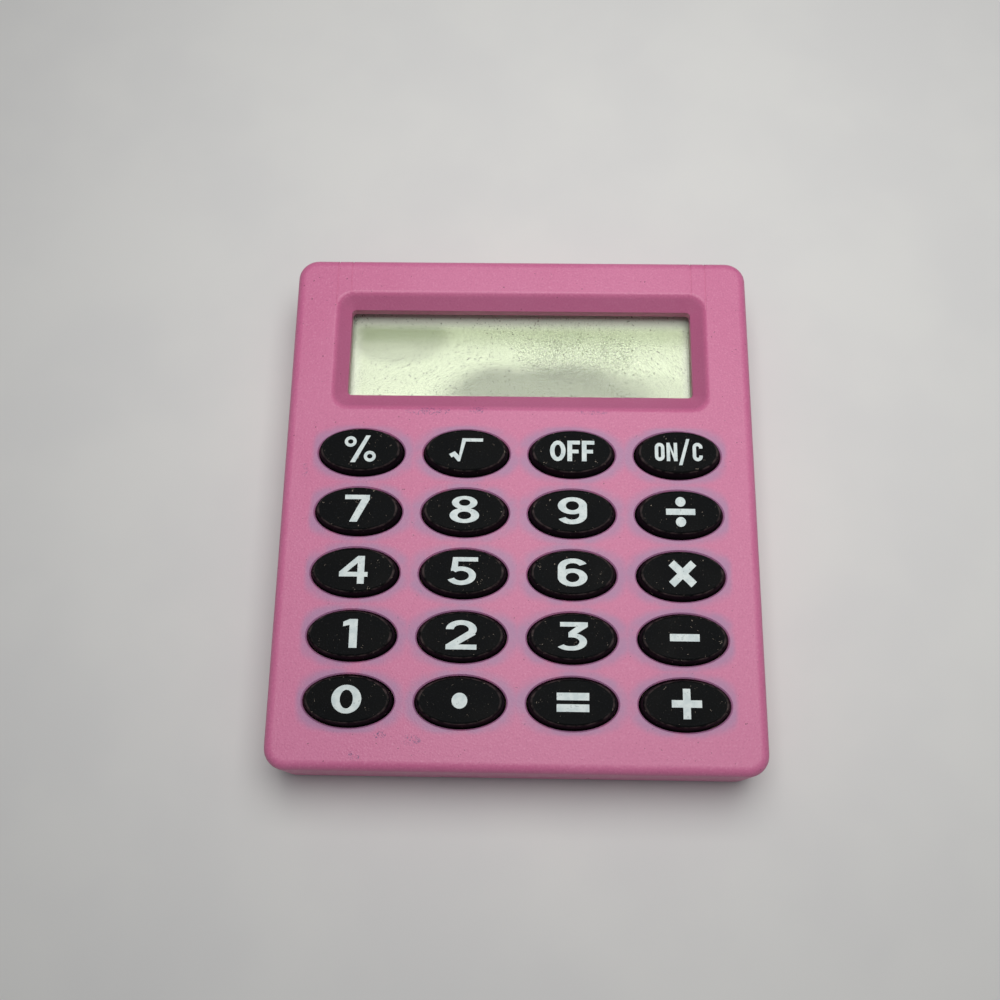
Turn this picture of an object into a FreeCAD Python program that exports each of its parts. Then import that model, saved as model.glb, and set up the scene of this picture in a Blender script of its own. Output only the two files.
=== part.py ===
"""A palm-size desk calculator: a two-shell ABS case with a sunk display, twenty oval rubber keys
on one silicone keypad, a circuit board, a reflective liquid-crystal display and one button cell.

Frame: millimetres, +Z out of the key face, +Y towards the display, origin at the middle of the
footprint on the surface that the feet stand on. The levels below are counted from the flat of the
back instead, and each piece is lifted by the height of the feet when it is written.
"""
import FreeCAD, Part
import math
import os

Vector = FreeCAD.Vector

# ---- Driving dimensions, in millimetres -------------------------------------------------------

# The case, seen from the front
case_width = 51.5
case_length = 57.8
corner_radius = 2.3
face_edge_radius = 1.0
back_edge_radius = 0.8

# Shell walls and the lap joint between the two shells
face_wall = 1.4
side_wall = 1.4
back_wall = 1.2
parting_height = 3.2
parting_gap = 0.15
tongue_height = 0.9
tongue_thickness = 0.6
tongue_clearance = 0.1

# The display opening: a sunk frame with sloping sides
display_margin_back = 4.2
display_margin_side = 4.7
recess_length = 14.4
recess_depth = 1.5
recess_run = 1.6
recess_run_front = 2.2
recess_corner = 1.9
recess_edge_radius = 0.45
opening_corner = 0.5
opening_lip = 1.0
witness_width = 0.16
witness_depth = 0.08

# The keys fill the face between these margins and gaps
key_columns = 4
key_rows = 5
key_margin_side = 3.9
key_margin_front = 4.4
key_margin_display = 2.6
key_gap_x = 2.3
key_gap_y = 1.55
key_proud = 1.25
key_travel = 0.9
key_draft = 0.22
key_edge_radius = 0.22
aperture_clearance = 0.15
aperture_chamfer = 0.15

# The keypad under the face
mat_thickness = 0.7
mat_edge_clearance = 0.7
dome_thickness = 0.3
dome_run = 0.3
dome_collar = 0.25
dome_clearance = 0.1
dome_headroom = 0.45
pill_thickness = 0.4
pill_inset_x = 1.6
pill_inset_y = 1.0
mat_rib = 0.8

# The circuit board and what is on its back
board_thickness = 1.0
board_clearance = 0.4
pad_thickness = 0.05
pad_gap = 0.5
chip_radius = 2.9
chip_height = 1.2
small_part_length = 1.6
small_part_width = 0.8
small_part_height = 0.7

# The heat-staked posts that hold the board, and the props behind it
post_radius = 0.75
post_head_radius = 1.1
post_head_height = 0.3
post_hole_clearance = 0.1
prop_radius = 1.0
prop_clearance = 0.1

# The window and the liquid-crystal display
window_thickness = 0.8
window_overlap = 1.1
window_clearance = 0.1
lcd_gap = 0.7
glass_thickness = 0.55
film_thickness = 0.2
lcd_overlap_side = 2.05
lcd_overlap_end = 2.0
lcd_ledge = 2.0
film_inset = 0.5
lcd_clearance = 0.15
surround_wall = 1.0
flex_thickness = 0.1
flex_bond = 2.4
foam_thickness = 0.5
foam_inset = 2.2
foam_rib = 1.2
foam_rib_inset = 3.0
foam_rib_spacing = 5.0

# The button cell and its contacts
cell_radius = 5.8
cell_height = 3.05
cell_cap_radius = 4.85
cell_cap_rise = 0.3
cell_gasket = 0.35
cell_edge_radius = 0.45
cell_clearance = 0.15
cell_from_front = 14.6
cell_wall = 0.9
contact_thickness = 0.15
contact_width = 3.0
contact_reach = 3.6
contact_overlap = 2.0

# The sliding battery door
door_beside_cell = 1.9
door_thickness = 1.05
door_recess = 0.1
door_clearance = 0.1
door_beyond_cell = 1.2
door_end_wall = 1.3
runner_width = 0.6
runner_height = 0.45
runner_bottom = 0.5
bay_plate_thickness = 0.65
grip_from_end = 3.2
grip_count = 4
grip_pitch = 1.3
grip_length = 8.0
grip_width = 0.55
grip_depth = 0.3

# The four case screws
screw_radius = 0.8
screw_head_radius = 1.5
screw_head_height = 0.9
screw_length = 5.0
screw_slot = 0.45
screw_slot_depth = 0.45
boss_radius = 1.6
boss_wall_gap = 0.1
boss_pilot_clearance = 0.05
screw_seat_clearance = 0.2
screw_pad_wall = 0.6

# Four small pips moulded on the back, which the calculator stands on
foot_radius = 1.2
foot_rise = 0.3
foot_inset = 7.0

# ---- Sizes and places worked out from them ----------------------------------------------------

half_width = case_width / 2
half_length = case_length / 2
inner_half_width = half_width - side_wall
inner_half_length = half_length - side_wall
inner_corner = max(corner_radius - side_wall, 0.1)

# Levels, from the back upwards: door, cell, board, keypad, face
cell_bottom = back_wall + contact_thickness + 0.05
cell_top = cell_bottom + cell_height
board_bottom = cell_top + contact_thickness
board_top = board_bottom + board_thickness
mat_top = board_top + mat_thickness
pill_bottom = board_top + pad_thickness + key_travel
key_bottom = pill_bottom + pill_thickness
dome_top = key_bottom + dome_collar
ceiling = dome_top + dome_headroom
face_level = ceiling + face_wall
key_top = face_level + key_proud

# The display, from the face downwards
recess_floor = face_level - recess_depth
window_top = recess_floor - opening_lip
window_bottom = window_top - window_thickness
lcd_top = window_bottom - lcd_gap
upper_glass_top = lcd_top - film_thickness
lower_glass_top = upper_glass_top - glass_thickness
reflector_top = lower_glass_top - glass_thickness
lcd_bottom = reflector_top - film_thickness
foam_bottom = lcd_bottom - foam_thickness
surround_bottom = lcd_bottom + film_thickness

recess_width = case_width - 2 * display_margin_side
recess_y = half_length - display_margin_back - recess_length / 2
display_y = recess_y + (recess_run_front - recess_run) / 2
opening_width = recess_width - 2 * recess_run
opening_length = recess_length - recess_run - recess_run_front
window_width = opening_width + 2 * window_overlap
window_length = opening_length + 2 * window_overlap
lcd_width = opening_width + 2 * lcd_overlap_side
lcd_length = opening_length + 2 * lcd_overlap_end
lcd_front_y = display_y - lcd_length / 2
surround_width = lcd_width + 2 * (lcd_clearance + surround_wall)
surround_length = lcd_length + 2 * (lcd_clearance + surround_wall)
surround_front_y = display_y - surround_length / 2

# The key grid
key_length = (case_width - 2 * key_margin_side - (key_columns - 1) * key_gap_x) / key_columns
key_field_back = recess_y - recess_length / 2 - key_margin_display
key_field_front = -half_length + key_margin_front
key_width = (key_field_back - key_field_front - (key_rows - 1) * key_gap_y) / key_rows
pitch_x = key_length + key_gap_x
pitch_y = key_width + key_gap_y
key_a = key_length / 2
key_b = key_width / 2
hole_a = key_a + dome_run
hole_b = key_b + dome_run

# Board and keypad outlines, which share their sides and front edge
board_back_y = surround_front_y - board_clearance
board_front_y = -inner_half_length + board_clearance
mat_back_y = board_back_y - mat_edge_clearance / 2
mat_front_y = -inner_half_length + mat_edge_clearance

# The cell bay and the door
cell_y = -half_length + cell_from_front
door_half = cell_radius + door_beside_cell
door_inner_y = cell_y + cell_radius + door_beyond_cell
bay_plate_bottom = door_recess + door_thickness + door_clearance
bay_plate_top = bay_plate_bottom + bay_plate_thickness
bay_half = door_half + door_clearance + runner_width + cell_wall
ring_inner = cell_radius + cell_clearance
ring_outer = ring_inner + cell_wall
ring_top = cell_top - 0.05

# Screws stand in the four inner corners
boss_room_radius = boss_radius + boss_wall_gap
boss_corner_inset = inner_corner - (inner_corner - boss_room_radius) / math.sqrt(2)
boss_inset = max(boss_room_radius, boss_corner_inset)
boss_x = inner_half_width - boss_inset
boss_y = inner_half_length - boss_inset
screw_points = [(sx * boss_x, sy * boss_y) for sx in (-1, 1) for sy in (-1, 1)]
screw_seat = screw_head_height + 0.3
boss_bottom = screw_seat + 0.9
foot_x = half_width - foot_inset
foot_y = half_length - foot_inset
foot_points = [(sx * foot_x, sy * foot_y) for sx in (-1, 1) for sy in (-1, 1)]

key_names = [
    ["percent", "root", "off", "on_clear"],
    ["7", "8", "9", "divide"],
    ["4", "5", "6", "times"],
    ["1", "2", "3", "minus"],
    ["0", "point", "equals", "plus"],
]


def key_centre(row, column):
    """Middle of the key in a row counted from the display and a column counted from the left."""
    x = (column - (key_columns - 1) / 2) * pitch_x
    y = key_field_back - key_b - row * pitch_y
    return x, y


key_points = {
    key_names[row][column]: key_centre(row, column)
    for row in range(key_rows)
    for column in range(key_columns)
}


def junction(row, column):
    """The free spot between four keys: below a row, and a number of columns off the middle."""
    return column * pitch_x, key_centre(row, 0)[1] - pitch_y / 2


post_points = [junction(0, -1), junction(0, 0), junction(0, 1), junction(3, -1), junction(3, 1)]
prop_points = [junction(row, column) for row in (1, 2) for column in (-1, 1)]


# ---- Shapes that several pieces use -----------------------------------------------------------


def rounded_outline(width, length, z, radius, y=0.0):
    """A closed wire: a rectangle about (0, y) with arcs for corners."""
    x1 = width / 2
    y1 = length / 2
    edges = []
    for turn, (cx, cy) in enumerate(((1, 1), (-1, 1), (-1, -1), (1, -1))):
        middle = Vector(cx * (x1 - radius), y + cy * (y1 - radius), z)
        start, halfway, end = (
            middle + Vector(math.cos(a), math.sin(a), 0) * radius
            for a in (math.radians(90 * turn + step) for step in (0, 45, 90))
        )
        if edges:
            edges.append(Part.LineSegment(edges[-1].valueAt(edges[-1].LastParameter), start).toShape())
        edges.append(Part.Arc(start, halfway, end).toShape())
    first = edges[0].valueAt(edges[0].FirstParameter)
    last = edges[-1].valueAt(edges[-1].LastParameter)
    edges.append(Part.LineSegment(last, first).toShape())
    return Part.Wire(edges)


def rounded_block(width, length, z_low, z_high, radius, y=0.0):
    outline = rounded_outline(width, length, z_low, radius, y)
    return Part.Face(outline).extrude(Vector(0, 0, z_high - z_low))


def block(x_low, x_high, y_low, y_high, z_low, z_high):
    corner = Vector(x_low, y_low, z_low)
    return Part.makeBox(x_high - x_low, y_high - y_low, z_high - z_low, corner)


def rod(x, y, radius, z_low, z_high):
    return Part.makeCylinder(radius, z_high - z_low, Vector(x, y, z_low))


def oval_wire(x, y, z, a, b):
    centre = Vector(x, y, z)
    return Part.Wire(Part.Ellipse(centre + Vector(a, 0, 0), centre + Vector(0, b, 0), centre).toShape())


def oval_prism(x, y, a, b, z_low, z_high):
    return Part.Face(oval_wire(x, y, z_low, a, b)).extrude(Vector(0, 0, z_high - z_low))


def oval_taper(x, y, a, b, z_low, z_high, growth):
    """An oval whose half axes change by growth between its two levels."""
    low = oval_wire(x, y, z_low, a, b)
    high = oval_wire(x, y, z_high, a + growth, b + growth)
    return Part.makeLoft([low, high], True, True)


def edges_at_level(shape, z):
    """The edges that lie wholly in one level."""
    return [
        edge
        for edge in shape.Edges
        if abs(edge.BoundBox.ZMin - z) < 1e-4 and abs(edge.BoundBox.ZMax - z) < 1e-4
    ]


def boss_room(z_low, z_high, gap):
    """Room for the four screw bosses, and the corners outside them, to cut from what they pass."""
    height = z_high - z_low
    room = []
    for x, y in screw_points:
        corner = Part.makeBox(half_width, half_length, height, Vector(0, 0, z_low))
        if x < 0:
            corner.translate(Vector(-half_width, 0, 0))
        if y < 0:
            corner.translate(Vector(0, -half_length, 0))
        corner.translate(Vector(x, y, 0))
        room += [rod(x, y, boss_radius + gap, z_low, z_high), corner]
    return room


# ---- The two shells ---------------------------------------------------------------------------


def case_envelope():
    """The outside of the whole case, both shells together."""
    blank = rounded_block(case_width, case_length, 0, face_level, corner_radius)
    blank = blank.makeFillet(face_edge_radius, edges_at_level(blank, face_level))
    return blank.makeFillet(back_edge_radius, edges_at_level(blank, 0))


def witness_line(x, y_start):
    """A cutter for one faint mould line, from y_start over the face and its rounded back edge."""
    rim = half_length - face_edge_radius
    above = face_level + 0.5
    middle = Vector(x, rim, face_level - face_edge_radius)
    radius = face_edge_radius - witness_depth
    arc_start, arc_half, arc_end = (
        middle + Vector(0, math.sin(a), math.cos(a)) * radius
        for a in (0.0, math.pi / 4, math.pi / 2)
    )
    start = Vector(x, y_start, arc_start.z)
    outer = [
        Vector(x, half_length + 0.5, arc_end.z),
        Vector(x, half_length + 0.5, above),
        Vector(x, y_start, above),
    ]
    edges = [Part.LineSegment(start, arc_start).toShape(), Part.Arc(arc_start, arc_half, arc_end).toShape()]
    corners = [arc_end, *outer, start]
    edges += [Part.LineSegment(p, q).toShape() for p, q in zip(corners, corners[1:])]
    face = Part.Face(Part.Wire(edges))
    face.translate(Vector(-witness_width / 2, 0, 0))
    return face.extrude(Vector(witness_width, 0, 0))


def recess_body():
    """The space with sloping sides in front of the display."""
    low = rounded_outline(opening_width, opening_length, recess_floor, opening_corner, display_y)
    high = rounded_outline(recess_width, recess_length, face_level, recess_corner, recess_y)
    return Part.makeLoft([low, high], True, True)


def sink_display(blank):
    """Cuts the display recess into the face and rounds its rim."""
    sunk = blank.cut(recess_body())
    rim = [
        edge
        for edge in edges_at_level(sunk, face_level)
        if abs(edge.CenterOfMass.x) < recess_width / 2 + 0.01
        and abs(edge.CenterOfMass.y - recess_y) < recess_length / 2 + 0.01
    ]
    return sunk.makeFillet(recess_edge_radius, rim)


def display_cutters():
    """The opening, and the pockets behind it for the window and the display."""
    opening = rounded_block(
        opening_width, opening_length, window_top - 0.1, recess_floor, opening_corner, display_y
    )
    window_pocket = rounded_block(
        window_width + 2 * window_clearance,
        window_length + 2 * window_clearance,
        lcd_top - 0.1,
        window_top,
        opening_corner,
        display_y,
    )
    lcd_pocket = rounded_block(
        lcd_width + 2 * lcd_clearance,
        lcd_length + 2 * lcd_clearance,
        surround_bottom - 0.1,
        lcd_top,
        0.3,
        display_y,
    )
    flex_slot = block(
        -flex_half() - 0.4,
        flex_half() + 0.4,
        surround_front_y - 0.1,
        lcd_front_y + 0.1,
        surround_bottom - 0.1,
        board_bottom + 0.15,
    )
    return [opening, window_pocket, lcd_pocket, flex_slot]


def front_case():
    above_parting = block(
        -case_width, case_width, -case_length, case_length, parting_height, 2 * face_level
    )
    shell = sink_display(case_envelope()).common(above_parting)
    cavity = rounded_block(
        2 * inner_half_width, 2 * inner_half_length, parting_height - 1, ceiling, inner_corner
    )
    rebate_depth = tongue_thickness + tongue_clearance
    rebate = rounded_block(
        2 * (inner_half_width + rebate_depth),
        2 * (inner_half_length + rebate_depth),
        parting_height - 1,
        parting_height + tongue_height + tongue_clearance,
        inner_corner + rebate_depth,
    )
    shell = shell.cut([cavity, rebate])
    surround = rounded_block(
        surround_width, surround_length, surround_bottom, ceiling + 0.1, 0.6, display_y
    ).cut(recess_body())
    rib_outer = block(
        -inner_half_width + mat_edge_clearance,
        inner_half_width - mat_edge_clearance,
        mat_front_y,
        mat_back_y,
        mat_top,
        ceiling + 0.1,
    )
    rib_inner = block(
        -inner_half_width + mat_edge_clearance + mat_rib,
        inner_half_width - mat_edge_clearance - mat_rib,
        mat_front_y + mat_rib,
        mat_back_y + 1,
        mat_top - 1,
        ceiling,
    )
    bosses = [rod(x, y, boss_radius, boss_bottom, ceiling + 0.1) for x, y in screw_points]
    posts = [rod(x, y, post_radius, board_bottom - post_head_height, ceiling + 0.1) for x, y in post_points]
    heads = [
        rod(x, y, post_head_radius, board_bottom - post_head_height, board_bottom)
        for x, y in post_points
    ]
    shell = shell.fuse([surround, rib_outer.cut(rib_inner), *bosses, *posts, *heads])
    pilot_radius = screw_radius + boss_pilot_clearance
    pilots = [rod(x, y, pilot_radius, boss_bottom - 1, ceiling - 0.4) for x, y in screw_points]
    aperture_a = key_a + aperture_clearance
    aperture_b = key_b + aperture_clearance
    apertures = [
        oval_prism(x, y, aperture_a, aperture_b, mat_top, face_level + 1)
        for x, y in key_points.values()
    ]
    chamfers = [
        oval_taper(
            x, y, aperture_a, aperture_b, face_level - aperture_chamfer, face_level, aperture_chamfer
        )
        for x, y in key_points.values()
    ]
    inner_line = opening_width / 2
    outer_line = recess_width / 2
    recess_back = recess_y + recess_length / 2
    lines = [
        witness_line(side * x, y)
        for side in (-1, 1)
        for x, y in ((inner_line, recess_back - 0.1), (outer_line, recess_back - recess_corner))
    ]
    return shell.cut([*display_cutters(), *pilots, *apertures, *chamfers, *lines]).removeSplitter()


def door_channel():
    """Cutters for the door's way out through the back shell: the plate, its runners, the end wall."""
    gap = door_clearance
    plate = block(
        -door_half - gap, door_half + gap, -case_length, door_inner_y + gap, -1, bay_plate_bottom
    )
    runners = block(
        -door_half - runner_width - gap,
        door_half + runner_width + gap,
        -case_length,
        door_inner_y + gap,
        runner_bottom - 0.05,
        runner_bottom + runner_height + 0.05,
    )
    end_gap = block(
        -door_half - gap,
        door_half + gap,
        -case_length,
        -inner_half_length,
        -1,
        parting_height - parting_gap,
    )
    return [plate, runners, end_gap]


def foot(x, y):
    """A pip shaped as a shallow cap of a ball, rooted in the back wall."""
    ball_radius = (foot_radius**2 + foot_rise**2) / (2 * foot_rise)
    ball = Part.makeSphere(ball_radius, Vector(x, y, ball_radius - foot_rise))
    return ball.common(rod(x, y, ball_radius, -foot_rise - 0.1, back_wall / 2))


def rear_case():
    below_parting = block(
        -case_width, case_width, -case_length, case_length, -1, parting_height - parting_gap
    )
    shell = case_envelope().common(below_parting)
    cavity = rounded_block(
        2 * inner_half_width, 2 * inner_half_length, back_wall, 2 * parting_height, inner_corner
    )
    tongue = rounded_block(
        2 * (inner_half_width + tongue_thickness),
        2 * (inner_half_length + tongue_thickness),
        parting_height - parting_gap,
        parting_height + tongue_height,
        inner_corner + tongue_thickness,
    )
    shell = shell.fuse(tongue).cut(cavity)
    bay_plate = block(
        -bay_half,
        bay_half,
        -inner_half_length - 0.01,
        door_inner_y + cell_wall,
        0.2,
        bay_plate_top,
    )
    ring = rod(0, cell_y, ring_outer, bay_plate_bottom, ring_top)
    pad_radius = screw_head_radius + screw_seat_clearance + screw_pad_wall
    pads = [rod(x, y, pad_radius, 0.5, boss_bottom - 0.05) for x, y in screw_points]
    pads = [pad.common(case_envelope()) for pad in pads]
    props = [rod(x, y, prop_radius, 0.5, board_bottom - prop_clearance) for x, y in prop_points]
    rib_half = lcd_width / 2 - foam_rib_inset
    foam_y = display_y + lcd_ledge / 2
    foam_ribs = [
        block(-rib_half, rib_half, y - foam_rib / 2, y + foam_rib / 2, 0.5, foam_bottom)
        for y in (foam_y - foam_rib_spacing / 2, foam_y + foam_rib_spacing / 2)
    ]
    feet = [foot(x, y) for x, y in foot_points]
    shell = shell.fuse([bay_plate, ring, *pads, *props, *foam_ribs, *feet])
    cell_hole = rod(0, cell_y, ring_inner, -1, face_level)
    notch = block(-ring_outer - 1, -ring_inner + 1, cell_y - contact_width / 2 - 0.3,
                  cell_y + contact_width / 2 + 0.3, bay_plate_top, face_level)
    seats = [rod(x, y, screw_head_radius + screw_seat_clearance, -1, screw_seat) for x, y in screw_points]
    holes = [rod(x, y, screw_radius + screw_seat_clearance, -1, face_level) for x, y in screw_points]
    return shell.cut([*door_channel(), cell_hole, notch, *seats, *holes]).removeSplitter()


def battery_door():
    plate = block(
        -door_half, door_half, -half_length, door_inner_y, door_recess, door_recess + door_thickness
    )
    runner_half = door_half + runner_width
    runners = block(
        -runner_half,
        runner_half,
        -inner_half_length + 0.2,
        door_inner_y - 0.5,
        runner_bottom,
        runner_bottom + runner_height,
    )
    end_wall = block(
        -door_half,
        door_half,
        -half_length,
        -half_length + door_end_wall,
        door_recess,
        parting_height - parting_gap - door_clearance,
    )
    door = plate.fuse([runners, end_wall]).common(case_envelope())
    first_grip = -half_length + grip_from_end
    grips = [
        block(-grip_length / 2, grip_length / 2, y, y + grip_width, -1, door_recess + grip_depth)
        for y in (first_grip + k * grip_pitch for k in range(grip_count))
    ]
    return door.cut(grips).removeSplitter()


# ---- Keypad -----------------------------------------------------------------------------------


def key(x, y):
    """One rubber key: straight inside the case, slightly drafted where it stands proud."""
    shoulder = face_level - 0.2
    stem = oval_prism(x, y, key_a, key_b, key_bottom, shoulder)
    cap = oval_taper(x, y, key_a, key_b, shoulder, key_top, -key_draft)
    cap = cap.makeFillet(key_edge_radius, edges_at_level(cap, key_top))
    return stem.fuse(cap).removeSplitter()


def pill(x, y):
    """The carbon pill under a key, which closes a contact on the board."""
    return oval_prism(x, y, key_a - pill_inset_x, key_b - pill_inset_y, pill_bottom, key_bottom)


def dome(x, y):
    """The thin sloping web round one key, which stands where the free web rests."""
    wall = dome_thickness
    gap = dome_clearance
    slope_outer = oval_taper(x, y, hole_a + wall, hole_b + wall, mat_top, key_bottom, -dome_run)
    slope_inner = oval_taper(x, y, hole_a + gap, hole_b + gap, mat_top, key_bottom, -dome_run)
    collar_outer = oval_prism(x, y, key_a + wall, key_b + wall, key_bottom, dome_top)
    collar_inner = oval_prism(x, y, key_a + gap, key_b + gap, key_bottom, dome_top)
    return slope_outer.cut(slope_inner).fuse(collar_outer.cut(collar_inner))


def keypad_mat():
    """The silicone sheet on the board, with a dome round each of its key openings."""
    sheet = block(
        -inner_half_width + mat_edge_clearance,
        inner_half_width - mat_edge_clearance,
        mat_front_y,
        mat_back_y,
        board_top,
        mat_top,
    )
    hole_a_free = hole_a + dome_clearance
    hole_b_free = hole_b + dome_clearance
    holes = [
        oval_prism(x, y, hole_a_free, hole_b_free, board_top - 1, mat_top + 1)
        for x, y in key_points.values()
    ]
    post_holes = [
        rod(x, y, post_radius + 2 * post_hole_clearance, board_top - 1, mat_top + 1)
        for x, y in post_points
    ]
    sheet = sheet.cut([*holes, *post_holes, *boss_room(board_top - 1, mat_top + 1, 0.3)])
    return sheet.fuse([dome(x, y) for x, y in key_points.values()]).removeSplitter()


# ---- Board and electronics --------------------------------------------------------------------


def circuit_board():
    board = block(
        -inner_half_width + board_clearance,
        inner_half_width - board_clearance,
        board_front_y,
        board_back_y,
        board_bottom,
        board_top,
    )
    post_holes = [
        rod(x, y, post_radius + post_hole_clearance, board_bottom - 1, board_top + 1)
        for x, y in post_points
    ]
    return board.cut([*post_holes, *boss_room(board_bottom - 1, board_top + 1, 0.3)])


def contact_pads():
    """The printed carbon contacts: two half ovals with a gap between them under each pill."""
    a = key_a - pill_inset_x
    b = key_b - pill_inset_y
    solids = []
    for x, y in key_points.values():
        oval = oval_prism(x, y, a, b, board_top, board_top + pad_thickness)
        for side in (-1, 1):
            near, far = sorted((x + side * pad_gap / 2, x + side * (a + 1)))
            half = oval.common(block(near, far, y - b - 1, y + b + 1, board_top - 1, board_top + 1))
            solids += half.Solids
    return Part.makeCompound(solids)


def chip_resin():
    """The black resin drop over the bare chip on the board's back: a cap cut off a ball."""
    ball_radius = (chip_radius**2 + chip_height**2) / (2 * chip_height)
    x, y = key_points["7"]
    ball = Part.makeSphere(ball_radius, Vector(x, y, board_bottom - chip_height + ball_radius))
    room = rod(x, y, chip_radius + 1, board_bottom - chip_height - 1, board_bottom)
    return ball.common(room)


def small_parts():
    """Two chip capacitors and a chip resistor on the board's back, right of the cell."""
    x, _ = key_points["divide"]
    solids = []
    for row in ("divide", "times", "minus"):
        y = key_points[row][1]
        part = block(
            x - small_part_length / 2,
            x + small_part_length / 2,
            y - small_part_width / 2,
            y + small_part_width / 2,
            board_bottom - small_part_height,
            board_bottom,
        )
        solids.append(part)
    return Part.makeCompound(solids)


def flex_half():
    """Half the width of the film connector, which stays clear of the display's corners."""
    return opening_width / 2 - 4.0


def lcd_flex():
    """The heat-sealed film connector: bonded under the display's ledge, it rises to the board's back."""
    bond_top = lower_glass_top
    glass_end = lcd_front_y + lcd_ledge - 0.2
    bend_low = lcd_front_y - 0.1
    bend_high = board_back_y - 0.1
    top = [
        (glass_end, bond_top),
        (bend_low, bond_top),
        (bend_high, board_bottom),
        (board_back_y - flex_bond, board_bottom),
    ]
    bottom = [(y, z - flex_thickness) for y, z in reversed(top)]
    points = [Vector(-flex_half(), y, z) for y, z in [*top, *bottom, top[0]]]
    return Part.Face(Part.makePolygon(points)).extrude(Vector(2 * flex_half(), 0, 0))


# ---- Display ----------------------------------------------------------------------------------


def display_window():
    return rounded_block(window_width, window_length, window_bottom, window_top, opening_corner, display_y)


def display_layer(front_edge_inset, inset, z_low, z_high):
    """One rectangular layer of the display. Its front edge may stop short to bare the ledge."""
    return block(
        -lcd_width / 2 + inset,
        lcd_width / 2 - inset,
        lcd_front_y + front_edge_inset + inset,
        lcd_front_y + lcd_length - inset,
        z_low,
        z_high,
    )


def lcd_front_polariser():
    return display_layer(0.0, film_inset, upper_glass_top, lcd_top)


def lcd_upper_glass():
    return display_layer(0.0, 0.0, lower_glass_top, upper_glass_top)


def lcd_lower_glass():
    return display_layer(lcd_ledge, 0.0, reflector_top, lower_glass_top)


def lcd_reflector():
    return display_layer(lcd_ledge, film_inset, lcd_bottom, reflector_top)


def lcd_foam_pad():
    """The foam that presses the display up against the case."""
    return display_layer(lcd_ledge, foam_inset, foam_bottom, lcd_bottom)


# ---- Battery ----------------------------------------------------------------------------------


def cell_can():
    """The steel can and its contents, with the seat for the gasket and cap in its top."""
    top = cell_top - cell_cap_rise
    can = rod(0, cell_y, cell_radius, cell_bottom, top)
    rims = edges_at_level(can, top) + edges_at_level(can, cell_bottom)
    can = can.makeFillet(cell_edge_radius, rims)
    return can.cut(rod(0, cell_y, cell_cap_radius + cell_gasket, top - 0.5, top + 1))


def cell_cap():
    """The negative cap with the nylon gasket round it, as two solids."""
    top = cell_top - cell_cap_rise
    cap = rod(0, cell_y, cell_cap_radius, top - 0.5, cell_top)
    cap = cap.makeFillet(0.25, edges_at_level(cap, cell_top))
    gasket = rod(0, cell_y, cell_cap_radius + cell_gasket, top - 0.5, top + 0.05)
    gasket = gasket.cut(rod(0, cell_y, cell_cap_radius, top - 1, top + 1))
    return Part.makeCompound([cap, gasket])


def contact_negative():
    """A leaf on the board's back that touches the cell's cap."""
    return block(
        -contact_overlap,
        cell_radius + contact_reach,
        cell_y - contact_width / 2,
        cell_y + contact_width / 2,
        board_bottom - contact_thickness,
        board_bottom,
    )


def contact_positive():
    """A bent strip from the board's back down the side of the cell's can."""
    foot = block(
        -cell_radius - contact_reach,
        -cell_radius,
        cell_y - contact_width / 2,
        cell_y + contact_width / 2,
        board_bottom - contact_thickness,
        board_bottom,
    )
    leg = block(
        -cell_radius - contact_thickness,
        -cell_radius,
        cell_y - contact_width / 2,
        cell_y + contact_width / 2,
        bay_plate_top + 0.3,
        board_bottom,
    )
    return foot.fuse(leg).removeSplitter()


# ---- Fasteners --------------------------------------------------------------------------------


def case_screw(x, y):
    """One self-tapping pan-head screw, driven in from the back, with a cross slot."""
    head_bottom = screw_seat - screw_head_height
    head = rod(x, y, screw_head_radius, head_bottom, screw_seat)
    head = head.makeFillet(0.35, edges_at_level(head, head_bottom))
    shank = rod(x, y, screw_radius, screw_seat - 0.1, screw_seat + screw_length)
    shank = shank.makeChamfer(0.5, edges_at_level(shank, screw_seat + screw_length))
    reach = screw_head_radius * 0.62
    half = screw_slot / 2
    slot_top = head_bottom + screw_slot_depth
    slots = [
        block(x - reach, x + reach, y - half, y + half, -1, slot_top),
        block(x - half, x + half, y - reach, y + reach, -1, slot_top),
    ]
    return head.fuse(shank).cut(slots).removeSplitter()


def case_screws():
    return Part.makeCompound([case_screw(x, y) for x, y in screw_points])


# ---- Export -----------------------------------------------------------------------------------


def export(name, shape):
    """Writes one node, lifted by its feet. Every solid in it has to be valid and closed."""
    for solid in shape.Solids:
        if not (solid.isValid() and solid.isClosed() and solid.Volume > 0):
            raise ValueError(f"{name} holds a solid that is not valid and closed")
    placed = shape.copy()
    placed.translate(Vector(0, 0, foot_rise))
    placed.exportStep(os.path.join("parts", name + ".step"))
    print(f"{name:22s} {len(placed.Solids):3d} solids {placed.Volume:10.2f} mm3")


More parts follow.
